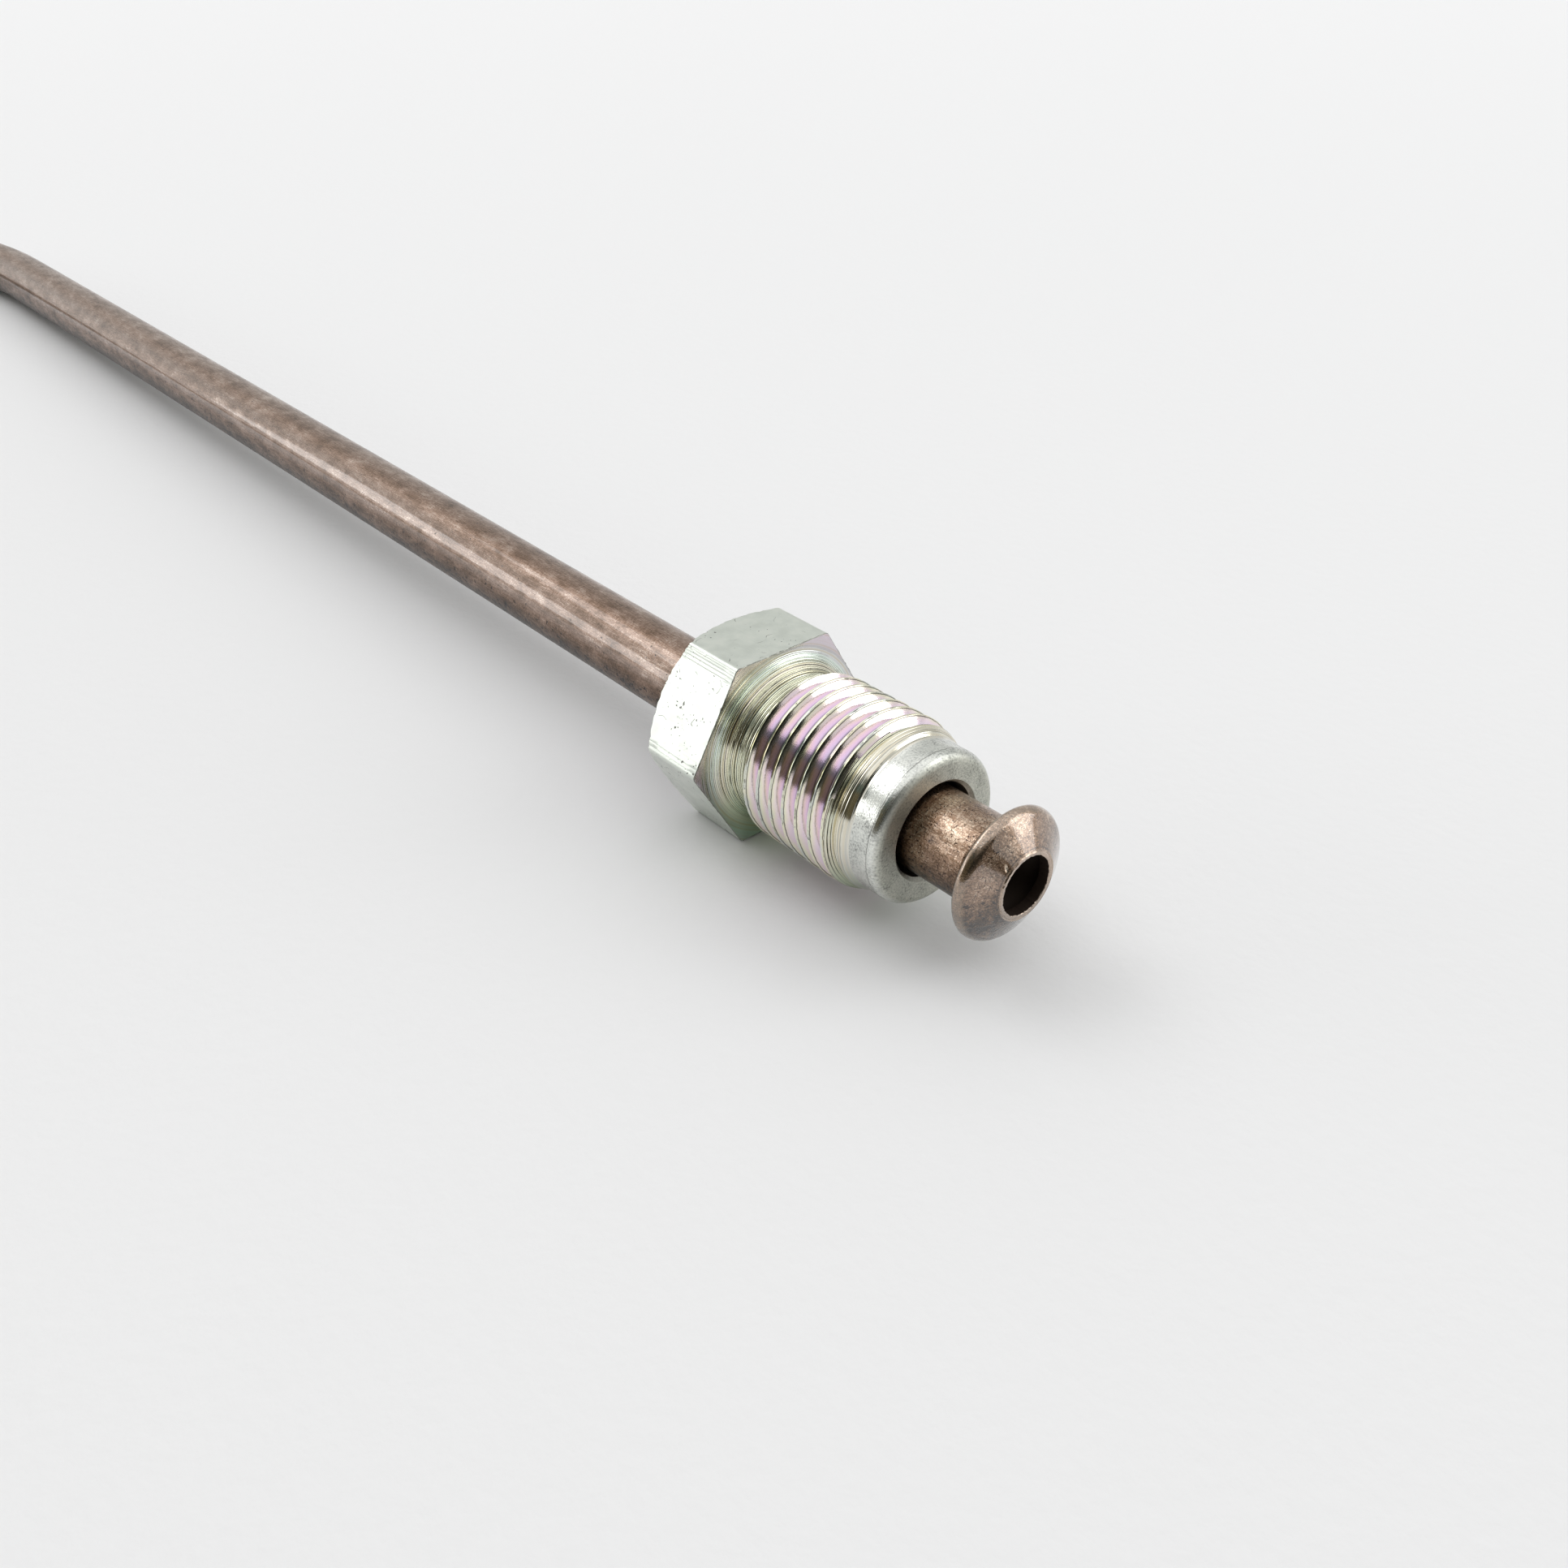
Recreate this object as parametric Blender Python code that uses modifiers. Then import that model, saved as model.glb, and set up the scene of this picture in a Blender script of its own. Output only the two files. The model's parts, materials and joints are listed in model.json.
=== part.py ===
"""A short rigid brake line: one bent metal pipe with a bubble flare on each end
and a loose tube nut behind each flare.

The line lies on a flat surface as it comes to rest: on one flat of each nut's
hexagon and on the underside of its bend.  All lengths are in metres, +Z is up,
and the origin is the bottom centre of the whole line.
"""
import bpy
import bmesh
from math import asin, ceil, cos, pi, radians, sin, tan
from mathutils import Matrix, Vector

MM = 0.001

# Pipe
PIPE_OD = 4.75 * MM
PIPE_WALL = 0.75 * MM
FRONT_RUN = 140.0 * MM            # from the lip of the front flare to the bend
REAR_RUN = 60.0 * MM              # from the bend to the lip of the rear flare
BEND_RADIUS = 50.0 * MM           # to the centre line of the pipe
BEND_ANGLE = radians(90.0)

# Bubble flare, measured back from its lip
FLARE_DIAMETER = 7.3 * MM
FLARE_CONE_ANGLE = radians(60.0)  # between the sealing cone and the pipe's axis
FLARE_CROWN_ROUND = 0.6 * MM
FLARE_BACK_ROUND = 0.25 * MM
FLARE_ROOT_ROUND = 0.5 * MM
LIP_WIDTH = 0.25 * MM             # flat ring round the mouth
FLARE_WALL = 0.65 * MM            # metal in front of the fold inside the flare
FOLD_DIAMETER = 4.6 * MM          # groove that the fold leaves in the bore
FOLD_RUN_OUT = 0.85 * MM

# Tube nut, measured back from the end of its nose
NUT_LENGTH = 16.5 * MM
NUT_STANDOFF = 6.05 * MM          # from the lip of the flare to the nose, as it lies
BORE_CLEARANCE = 0.3 * MM         # all round the pipe
BORE_CHAMFER = 0.2 * MM
NOSE_DIAMETER = 8.65 * MM
NOSE_LENGTH = 1.8 * MM
NOSE_ROUND = 0.6 * MM
LEAD_IN_LENGTH = 1.5 * MM
THREAD_DIAMETER = 9.8 * MM
RUN_OUT_LENGTH = 0.35 * MM
NECK_DIAMETER = 8.6 * MM
NECK_LENGTH = 0.8 * MM
NECK_FILLET = 1.15 * MM
HEX_ACROSS_FLATS = 11.0 * MM
HEX_LENGTH = 4.75 * MM
HEX_CORNER_ROUND = 0.3 * MM
HEX_FACE_DIAMETER = 10.7 * MM     # flat circle on the back of the hexagon
HEX_CHAMFER_ANGLE = radians(38.0)

# Fineness of the faceted surfaces
PIPE_SKIN_RESOLUTION = 10         # 24 sides
PIPE_BORE_RESOLUTION = 7          # 18 sides
BEND_STEP = radians(4.0)
TURNING_STEPS = 48
ARC_STEP = radians(18.0)
CUT_MARGIN = 1.0 * MM             # how far a cutter stands past what it cuts
FACE_DRAFT = 0.01 * MM            # keeps a square shoulder of the pipe from doubling back

PIPE_RADIUS = PIPE_OD / 2
BORE_RADIUS = PIPE_RADIUS - PIPE_WALL
LIP_RADIUS = BORE_RADIUS + LIP_WIDTH


def clear_scene():
    for obj in list(bpy.data.objects):
        bpy.data.objects.remove(obj, do_unlink=True)


def new_collection(name, hidden=False):
    collection = bpy.data.collections.new(name)
    bpy.context.scene.collection.children.link(collection)
    collection.hide_render = hidden
    return collection


def metal(name, colour, roughness):
    """A plain metal; colour is linear RGB."""
    material = bpy.data.materials.new(name)
    material.use_nodes = True
    shader = material.node_tree.nodes["Principled BSDF"]
    shader.inputs["Base Color"].default_value = (*colour, 1.0)
    shader.inputs["Metallic"].default_value = 1.0
    shader.inputs["Roughness"].default_value = roughness
    return material


def arc(centre, radius, start, end):
    """Points on an arc in the (along, out) plane of a profile, both ends included."""
    steps = max(2, ceil(abs(end - start) / ARC_STEP))
    angles = [start + (end - start) * i / steps for i in range(steps + 1)]
    return [(centre[0] + radius * cos(a), centre[1] + radius * sin(a)) for a in angles]


# The pipe lies in its own plane.  The bend starts at that plane's origin, the
# front run leaves it along -Y, and the bend turns from +Y towards -X.
BEND_CENTRE = Vector((-BEND_RADIUS, 0.0, 0.0))
FRONT_DIRECTION = Vector((0.0, -1.0, 0.0))
REAR_DIRECTION = Vector((-sin(BEND_ANGLE), cos(BEND_ANGLE), 0.0))


def bend_point(angle):
    return BEND_CENTRE + BEND_RADIUS * Vector((cos(angle), sin(angle), 0.0))


FRONT_LIP = FRONT_DIRECTION * FRONT_RUN
REAR_LIP = bend_point(BEND_ANGLE) + REAR_DIRECTION * REAR_RUN


def hex_flat_reach():
    """From the nose to the rear end of a hexagon's flat, at the middle of the flat."""
    cut_off = (HEX_ACROSS_FLATS - HEX_FACE_DIAMETER) / 2 * tan(HEX_CHAMFER_ANGLE)
    return NUT_LENGTH - cut_off


def resting_matrix():
    """Turns the pipe's plane so that both hexagons and the bend touch the ground."""
    foot_distance = NUT_STANDOFF + hex_flat_reach()
    front_foot = FRONT_LIP - FRONT_DIRECTION * foot_distance
    rear_foot = REAR_LIP - REAR_DIRECTION * foot_distance
    between = (rear_foot - front_foot).normalized()
    uphill = Vector((-between.y, between.x, 0.0))
    reach = uphill.dot(front_foot - BEND_CENTRE) + BEND_RADIUS
    slope = asin((HEX_ACROSS_FLATS / 2 - PIPE_RADIUS) / reach)
    tilt = Matrix.Rotation(slope, 4, uphill.cross(Vector((0.0, 0.0, 1.0))))
    lift = PIPE_RADIUS - sin(slope) * (uphill.dot(BEND_CENTRE) - BEND_RADIUS)
    return Matrix.Translation((0.0, 0.0, lift)) @ tilt


def flare_skin():
    """(distance back from the lip, radius) down the outside of a flare."""
    crown = FLARE_DIAMETER / 2
    crown_centre_radius = crown - FLARE_CROWN_ROUND
    fall = FLARE_CROWN_ROUND + (crown_centre_radius - LIP_RADIUS) * cos(FLARE_CONE_ANGLE)
    crown_distance = fall / sin(FLARE_CONE_ANGLE)
    back = crown_distance + FLARE_BACK_ROUND
    points = [(0.0, LIP_RADIUS)]
    points += arc((crown_distance, crown_centre_radius), FLARE_CROWN_ROUND,
                  pi / 2 + FLARE_CONE_ANGLE, pi / 2)
    points += arc((crown_distance, crown - FLARE_BACK_ROUND), FLARE_BACK_ROUND,
                  pi / 2, 0.0)[1:]
    root = (back + FACE_DRAFT + FLARE_ROOT_ROUND, PIPE_RADIUS + FLARE_ROOT_ROUND)
    points += arc(root, FLARE_ROOT_ROUND, pi, 3 * pi / 2)
    return points


def flare_bore():
    """(distance back from the lip, radius) of the hole through a flare."""
    fold = FOLD_DIAMETER / 2
    fold_distance = ((FLARE_WALL + (fold - LIP_RADIUS) * cos(FLARE_CONE_ANGLE))
                     / sin(FLARE_CONE_ANGLE))
    mouth = fold_distance - (fold - BORE_RADIUS) / tan(FLARE_CONE_ANGLE)
    return [(-CUT_MARGIN, BORE_RADIUS), (mouth, BORE_RADIUS), (fold_distance, fold),
            (fold_distance + FOLD_RUN_OUT, BORE_RADIUS)]


def pipe_stations(end_profile):
    """(point, radius) along the whole line, with the same profile at each end."""
    stations = [(FRONT_LIP - FRONT_DIRECTION * d, r) for d, r in end_profile]
    steps = ceil(BEND_ANGLE / BEND_STEP)
    shaft = end_profile[-1][1]
    stations += [(bend_point(BEND_ANGLE * i / steps), shaft) for i in range(steps + 1)]
    stations += [(REAR_LIP - REAR_DIRECTION * d, r) for d, r in reversed(end_profile)]
    return stations


def swept_mesh(name, stations, resolution, collection, placement):
    """A solid round bar along the stations, each ring at its own radius."""
    curve = bpy.data.curves.new(name, "CURVE")
    curve.dimensions = "3D"
    curve.bevel_depth = PIPE_RADIUS
    curve.bevel_resolution = resolution
    curve.use_fill_caps = True
    spline = curve.splines.new("POLY")
    spline.points.add(len(stations) - 1)
    for point, (place, radius) in zip(spline.points, stations):
        point.co = (*place, 1.0)
        point.radius = radius / PIPE_RADIUS
    bar = bpy.data.objects.new(name + "_curve", curve)
    collection.objects.link(bar)
    bar.matrix_world = placement
    bpy.context.view_layer.update()
    evaluated = bar.evaluated_get(bpy.context.evaluated_depsgraph_get())
    mesh = bpy.data.meshes.new_from_object(evaluated)
    work = bmesh.new()
    work.from_mesh(mesh)
    bmesh.ops.remove_doubles(work, verts=work.verts, dist=1e-7)
    work.to_mesh(mesh)
    work.free()
    solid = bpy.data.objects.new(name, mesh)
    collection.objects.link(solid)
    solid.matrix_world = bar.matrix_world
    bpy.data.objects.remove(bar)
    return solid


def hide_cutter(cutter):
    cutter.hide_render = True
    cutter.display_type = "WIRE"


def add_boolean(target, cutter, operation):
    hide_cutter(cutter)
    modifier = target.modifiers.new(operation.lower(), "BOOLEAN")
    modifier.operation = operation
    modifier.solver = "EXACT"
    modifier.object = cutter


def smooth(obj, angle=radians(30.0)):
    obj.data.shade_smooth()
    obj.data.set_sharp_from_angle(angle=angle)


def make_pipe(parts, cutters, placement, material):
    """The pipe and both flares are one piece of metal: a skin less its bore."""
    pipe = swept_mesh("brake_pipe", pipe_stations(flare_skin()),
                      PIPE_SKIN_RESOLUTION, parts, placement)
    bore = swept_mesh("pipe_bore", pipe_stations(flare_bore()),
                      PIPE_BORE_RESOLUTION, cutters, placement)
    add_boolean(pipe, bore, "DIFFERENCE")
    pipe.data.materials.append(material)
    smooth(pipe)
    return pipe


def nut_profile():
    """Closed outline of half a nut as (radius, height), with the nose's end at height 0."""
    bore = PIPE_RADIUS + BORE_CLEARANCE
    nose = NOSE_DIAMETER / 2
    thread = THREAD_DIAMETER / 2
    neck = NECK_DIAMETER / 2
    blank = HEX_ACROSS_FLATS / 2 / cos(pi / 6) + CUT_MARGIN
    hex_front = NUT_LENGTH - HEX_LENGTH
    neck_end = hex_front - NECK_FILLET
    thread_end = neck_end - NECK_LENGTH - RUN_OUT_LENGTH
    face = HEX_FACE_DIAMETER / 2
    chamfer_start = NUT_LENGTH - (blank - face) * tan(HEX_CHAMFER_ANGLE)
    # Each point is (depth below the nose, radius) until the last line.
    points = [(0.0, bore + BORE_CHAMFER)]
    points += arc((NOSE_ROUND, nose - NOSE_ROUND), NOSE_ROUND, pi, pi / 2)
    points += [(NOSE_LENGTH, nose), (NOSE_LENGTH + LEAD_IN_LENGTH, thread),
               (thread_end, thread), (thread_end + RUN_OUT_LENGTH, neck)]
    points += arc((neck_end, neck + NECK_FILLET), NECK_FILLET, -pi / 2, 0.0)
    points += [(hex_front, blank), (chamfer_start, blank), (NUT_LENGTH, face),
               (NUT_LENGTH, bore + BORE_CHAMFER), (NUT_LENGTH - BORE_CHAMFER, bore),
               (BORE_CHAMFER, bore)]
    return [(radius, -depth) for depth, radius in points]


def turned(name, outline, collection):
    """A closed outline turned once round its own Z axis."""
    mesh = bpy.data.meshes.new(name)
    work = bmesh.new()
    corners = [work.verts.new((radius, 0.0, height)) for radius, height in outline]
    for first, second in zip(corners, corners[1:] + corners[:1]):
        work.edges.new((first, second))
    work.to_mesh(mesh)
    work.free()
    obj = bpy.data.objects.new(name, mesh)
    collection.objects.link(obj)
    screw = obj.modifiers.new("turn", "SCREW")
    screw.steps = screw.render_steps = TURNING_STEPS
    screw.use_merge_vertices = True
    screw.merge_threshold = 1e-6
    screw.use_smooth_shade = True
    return obj


def hexagon_bar(name, collection):
    """The bar stock that a nut is turned from, long enough to hold the whole nut."""
    mesh = bpy.data.meshes.new(name)
    work = bmesh.new()
    corner = HEX_ACROSS_FLATS / 2 / cos(pi / 6)
    # The cone's first corner is on Y, and half a flat's turn brings a flat there.
    halfway = Matrix.Translation((0.0, 0.0, -NUT_LENGTH / 2))
    bmesh.ops.create_cone(work, cap_ends=True, segments=6, radius1=corner, radius2=corner,
                          depth=NUT_LENGTH + 2 * CUT_MARGIN,
                          matrix=halfway @ Matrix.Rotation(pi / 6, 4, "Z"))
    long_edges = [e for e in work.edges if abs(e.verts[0].co.z - e.verts[1].co.z) > NUT_LENGTH]
    bmesh.ops.bevel(work, geom=long_edges, offset=HEX_CORNER_ROUND * tan(pi / 6),
                    offset_type="OFFSET", segments=3, profile=0.5, affect="EDGES")
    work.to_mesh(mesh)
    work.free()
    obj = bpy.data.objects.new(name, mesh)
    collection.objects.link(obj)
    return obj


def nut_matrix(placement, lip, direction):
    """Nose towards the lip along +Z, and a flat (-Y) turned down to the ground."""
    along = (placement.to_3x3() @ direction).normalized()
    up = Vector((0.0, 0.0, 1.0))
    top = (up - along * up.dot(along)).normalized()
    side = top.cross(along)
    place = placement @ (lip - direction * NUT_STANDOFF)
    axes = Matrix((side, top, along)).transposed().to_4x4()
    return Matrix.Translation(place) @ axes


def make_nut(name, parts, cutters, matrix, material):
    """A nut turned from hexagon bar, on an empty at the centre of its nose."""
    axis = bpy.data.objects.new(name + "_axis", None)
    axis.empty_display_size = NUT_LENGTH
    axis.matrix_world = matrix
    parts.objects.link(axis)
    nut = turned(name, nut_profile(), parts)
    bar = hexagon_bar(name + "_bar", cutters)
    nut.parent = axis
    bar.parent = axis
    add_boolean(nut, bar, "INTERSECT")
    nut.data.materials.append(material)
    return axis


def lowest_and_highest(objects):
    bpy.context.view_layer.update()
    depsgraph = bpy.context.evaluated_depsgraph_get()
    points = []
    for obj in objects:
        mesh = obj.evaluated_get(depsgraph).to_mesh()
        points += [obj.matrix_world @ v.co for v in mesh.vertices]
    low = Vector([min(p[i] for p in points) for i in range(3)])
    high = Vector([max(p[i] for p in points) for i in range(3)])
    return low, high


def stand_at_origin(parts, cutters):
    """Moves everything so that the origin is the bottom centre of the line."""
    solids = [o for o in parts.objects if o.type == "MESH"]
    low, high = lowest_and_highest(solids)
    shift = Vector((-(low.x + high.x) / 2, -(low.y + high.y) / 2, -low.z))
    for obj in list(parts.objects) + list(cutters.objects):
        if obj.parent is None:
            obj.matrix_world = Matrix.Translation(shift) @ obj.matrix_world
    bpy.context.view_layer.update()


def main():
    clear_scene()
    parts = new_collection("brake_line")
    cutters = new_collection("cutters", hidden=True)
    pipe_metal = metal("copper_nickel", (0.42, 0.31, 0.23), 0.35)
    nut_metal = metal("zinc_plated_steel", (0.72, 0.73, 0.70), 0.25)
    placement = resting_matrix()
    make_pipe(parts, cutters, placement, pipe_metal)
    ends = (("tube_nut_front", FRONT_LIP, FRONT_DIRECTION),
            ("tube_nut_rear", REAR_LIP, REAR_DIRECTION))
    for name, lip, direction in ends:
        matrix = nut_matrix(placement, lip, direction)
        make_nut(name, parts, cutters, matrix, nut_metal)
    stand_at_origin(parts, cutters)


main()
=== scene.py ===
import json
import random
from math import atan2, ceil, cos, floor, pi, radians, sin, sqrt, tan

import bmesh
import bpy
from mathutils import Matrix, Vector


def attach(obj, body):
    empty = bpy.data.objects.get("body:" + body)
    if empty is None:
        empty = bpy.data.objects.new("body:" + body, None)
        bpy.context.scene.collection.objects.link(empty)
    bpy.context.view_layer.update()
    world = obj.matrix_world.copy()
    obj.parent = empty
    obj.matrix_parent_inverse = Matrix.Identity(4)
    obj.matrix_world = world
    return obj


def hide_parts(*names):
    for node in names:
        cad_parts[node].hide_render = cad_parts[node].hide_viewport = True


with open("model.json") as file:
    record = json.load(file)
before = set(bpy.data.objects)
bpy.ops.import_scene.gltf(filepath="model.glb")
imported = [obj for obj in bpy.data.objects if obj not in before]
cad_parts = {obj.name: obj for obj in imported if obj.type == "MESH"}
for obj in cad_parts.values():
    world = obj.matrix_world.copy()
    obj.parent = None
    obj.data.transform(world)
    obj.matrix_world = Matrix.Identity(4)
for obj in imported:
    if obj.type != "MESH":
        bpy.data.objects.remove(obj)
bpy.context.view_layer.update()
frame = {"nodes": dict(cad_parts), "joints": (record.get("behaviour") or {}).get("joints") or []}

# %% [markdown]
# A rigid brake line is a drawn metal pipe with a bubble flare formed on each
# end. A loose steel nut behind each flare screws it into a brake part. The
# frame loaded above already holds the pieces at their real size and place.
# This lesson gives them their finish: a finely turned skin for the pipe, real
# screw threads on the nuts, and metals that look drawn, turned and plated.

MM = 0.001

# %% [markdown]
# Colours are easiest to choose as the hex values of a paint or picture
# program. Those are sRGB, and a shader works in linear light, so one function
# turns one into the other. A material is a small tree of nodes, and one more
# function adds a node together with its settings and everything that feeds it.
# The inputs come by name, or as a list in the order in which the node shows
# them: Map Range takes a value, the span it is from and the span it turns into.

# %% Helpers for every material
def linear(hex_colour):
    """RGBA in linear light from an sRGB hex colour such as #C8B49A."""
    values = [int(hex_colour[i:i + 2], 16) / 255 for i in (1, 3, 5)]
    return [v / 12.92 if v <= 0.04045 else ((v + 0.055) / 1.055) ** 2.4 for v in values] + [1.0]


def add_node(tree, kind, inputs=(), **settings):
    """A new node. An input is a number, a colour, an output, or a node, which gives its first output."""
    node = tree.nodes.new("ShaderNode" + kind)
    for name, value in settings.items():
        setattr(node, name, value)
    for socket, value in inputs.items() if isinstance(inputs, dict) else enumerate(inputs):
        if isinstance(value, bpy.types.Node):
            value = next(output for output in value.outputs if output.enabled)
        if isinstance(value, bpy.types.NodeSocket):
            tree.links.new(value, node.inputs[socket])
        else:
            node.inputs[socket].default_value = value
    return node


def new_material(name):
    """An empty node material and its tree."""
    material = bpy.data.materials.new(name)
    material.use_nodes = True
    material.node_tree.nodes.clear()
    return material, material.node_tree


def finished(material, shader):
    """The material with its shader linked to the output; prints how many nodes it took."""
    tree = material.node_tree
    add_node(tree, "OutputMaterial", {"Surface": shader})
    print(f"{material.name}: {len(tree.nodes)} nodes")
    return material


def ramp_stops(node, stops):
    """Puts (place, hex colour) stops on a Color Ramp node, in rising order."""
    elements = node.color_ramp.elements
    while len(elements) < len(stops):
        elements.new(1.0)
    for element, (place, colour) in zip(elements, stops):
        element.position = place
        element.color = linear(colour)
    return node


print("white in linear light:", linear("#FFFFFF"))

# %% [markdown]
# Each nut is a body of revolution round the pipe, so it helps to know the pipe's
# axis at both ends. The joints give the directions, and the flat ring at the
# end of a node gives a point: its middle lies on the axis.

# %% The axes of the pipe and the nuts
TOUCH = 0.002 * MM


def end_centre(node, along):
    """The middle of the flat ring that ends a node in this direction."""
    corners = [Vector(v.co) for v in frame["nodes"][node].data.vertices]
    reach = max(corner.dot(along) for corner in corners)
    ring = [corner for corner in corners if reach - corner.dot(along) < TOUCH]
    return sum(ring, Vector()) / len(ring)


joint_axis = {j["child"]: Vector(j["axis"]).normalized() for j in frame["joints"]}
FRONT_ALONG = joint_axis["front_nut"]
REAR_ALONG = joint_axis["rear_nut"]
FRONT_LIP = end_centre("brake_pipe", FRONT_ALONG)
REAR_LIP = end_centre("brake_pipe", REAR_ALONG)
print("front lip, mm:", [round(c / MM, 3) for c in FRONT_LIP])
print("rear lip, mm:", [round(c / MM, 3) for c in REAR_LIP])


def nut_matrix(node, along):
    """The nut's own frame: +Z to the flare, +Y up out of its top flat, origin at its nose."""
    up = Vector((0.0, 0.0, 1.0))
    top = (up - along * up.dot(along)).normalized()
    side = top.cross(along)
    axes = Matrix((side, top, along)).transposed().to_4x4()
    return Matrix.Translation(end_centre(node, along)) @ axes


# %% [markdown]
# The pipe's centre line is two straight runs joined by one arc. The radius of
# the bend is the only size needed here: the two axes give the rest.

# %% The centre line of the pipe
BEND_RADIUS = 50.0 * MM
BEND_ANGLE = radians(90.0)
lip_to_lip = REAR_LIP - FRONT_LIP
FRONT_RUN = -lip_to_lip.dot(FRONT_ALONG) - BEND_RADIUS
REAR_RUN = lip_to_lip.dot(REAR_ALONG) - BEND_RADIUS
PIPE_LENGTH = FRONT_RUN + BEND_RADIUS * BEND_ANGLE + REAR_RUN
BEND_START = FRONT_LIP - FRONT_ALONG * FRONT_RUN
BEND_CENTRE = BEND_START + REAR_ALONG * BEND_RADIUS
print("runs and whole length, mm:", [round(v / MM, 2) for v in (FRONT_RUN, REAR_RUN, PIPE_LENGTH)])


def centre_line(distance):
    """Point and forward direction at a distance from the front lip."""
    if distance <= FRONT_RUN:
        return FRONT_LIP - FRONT_ALONG * distance, -FRONT_ALONG
    turn = (distance - FRONT_RUN) / BEND_RADIUS
    if turn <= BEND_ANGLE:
        spoke = -REAR_ALONG * cos(turn) - FRONT_ALONG * sin(turn)
        return BEND_CENTRE + spoke * BEND_RADIUS, -FRONT_ALONG * cos(turn) + REAR_ALONG * sin(turn)
    return REAR_LIP - REAR_ALONG * (PIPE_LENGTH - distance), REAR_ALONG


# %% [markdown]
# Both pieces are drawn the same way: rows of points round an axis, with faces
# between each row and the next. A row may bend out of round, as a hexagon or a
# screw thread does, because every point is worked out from its angle. Points
# that land on each other are welded, which also closes the seam at 360 degrees.

# %% A mesh from rows of points round an axis
WELD = 0.0002 * MM
SHARP = radians(25.0)


def skin_from_rows(name, rows, angles, place, materials, band_slot):
    """place(row, angle) gives each point, band_slot(row, angle) the slot of the face after it."""
    mesh = bpy.data.meshes.new(name)
    points = [place(row, angle) for row in rows for angle in angles]
    wide = len(angles)
    faces = []
    slots = []
    for i in range(len(rows)):
        after = (i + 1) % len(rows)
        for j in range(wide - 1):
            faces.append((i * wide + j, i * wide + j + 1, after * wide + j + 1, after * wide + j))
            slots.append(band_slot(rows[i], angles[j]))
    mesh.from_pydata(points, [], faces)
    for material in materials:
        mesh.materials.append(material)
    mesh.polygons.foreach_set("material_index", slots)
    work = bmesh.new()
    work.from_mesh(mesh)
    bmesh.ops.remove_doubles(work, verts=work.verts, dist=WELD)
    bmesh.ops.recalc_face_normals(work, faces=work.faces)
    open_edges = sum(1 for edge in work.edges if not edge.is_manifold)
    work.to_mesh(mesh)
    work.free()
    mesh.shade_smooth()
    mesh.set_sharp_from_angle(angle=SHARP)
    print(f"{name}: {len(mesh.polygons)} faces, {open_edges} open edges")
    return mesh


def arc(centre, radius, start, end, steps):
    """Points on an arc in the (distance, radius) plane, both ends included."""
    angles = [start + (end - start) * i / steps for i in range(steps + 1)]
    return [(centre[0] + radius * cos(a), centre[1] + radius * sin(a)) for a in angles]


def spread(start, end, step):
    """Evenly spaced values from start to end, no further apart than step."""
    count = max(1, ceil(abs(end - start) / step))
    return [start + (end - start) * i / count for i in range(count + 1)]


# %% [markdown]
# Every finish below mixes the same few things: noise of a real size, sums of
# such noises, and a colour that is darkened under a mask. A pattern is counted
# from the axis of its piece, so that it follows the turned shape.

# %% Noise, sums and shade
def noise(tree, place, across_mm, along_mm, detail, roughness=0.5):
    """Noise with features of about these sizes across and along the piece."""
    scale = (1 / (across_mm * MM), 1 / (across_mm * MM), 1 / (along_mm * MM))
    mapped = add_node(tree, "Mapping", {"Vector": place, "Scale": scale})
    return add_node(tree, "TexNoise", {
        "Vector": mapped, "Scale": 1.0, "Detail": detail, "Roughness": roughness})


def ring_noise(tree, path, width, detail, roughness=0.5):
    """Noise that changes only along the cut, in rings of about this width."""
    count = add_node(tree, "Math", [path, width], operation="DIVIDE")
    return add_node(tree, "TexNoise", {
        "W": count, "Scale": 1.0, "Detail": detail, "Roughness": roughness}, noise_dimensions="1D")


def weighted_sum(tree, parts):
    """The sum of (value, weight) pairs."""
    total = 0.0
    for value, weight in parts:
        total = add_node(tree, "Math", [value, weight, total], operation="MULTIPLY_ADD")
    return total


def shaded(tree, colour, mask, strength, hex_colour):
    """The colour multiplied by another one where the mask is 1."""
    share = add_node(tree, "Math", [mask, strength], operation="MULTIPLY")
    return add_node(tree, "Mix", {"Factor": share, "A": colour, "B": linear(hex_colour)},
                    data_type="RGBA", blend_type="MULTIPLY")


def from_axis(tree, place):
    """Distance from the axis, for a place whose third number runs along it."""
    across = add_node(tree, "VectorMath", [place, (1.0, 1.0, 0.0)], operation="MULTIPLY")
    return add_node(tree, "VectorMath", [across], operation="LENGTH")


print("noise scale for features of 0.1 mm:", round(1 / (0.1 * MM)))

# %% [markdown]
# The finish of the pipe. Copper-nickel brake pipe is drawn through a die, so
# its skin is full of fine lengthwise lines, and handling and air turn it a dull
# brown. The eye sees a soft, streaky highlight on a dark warm metal. Its
# pattern must run along the bent pipe, so the mesh carries, at each point, the
# place where that point would be if the pipe were straight. The drawing lines
# are a few hundredths of a millimetre apart, too fine to show, so they are
# drawn as coarse as they need to show.

# %% Zones along the pipe
FLARE_END = 1.9 * MM
CLAMP_FADES_FROM = 6.0 * MM
CLAMP_FADES_TO = 9.0 * MM


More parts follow.
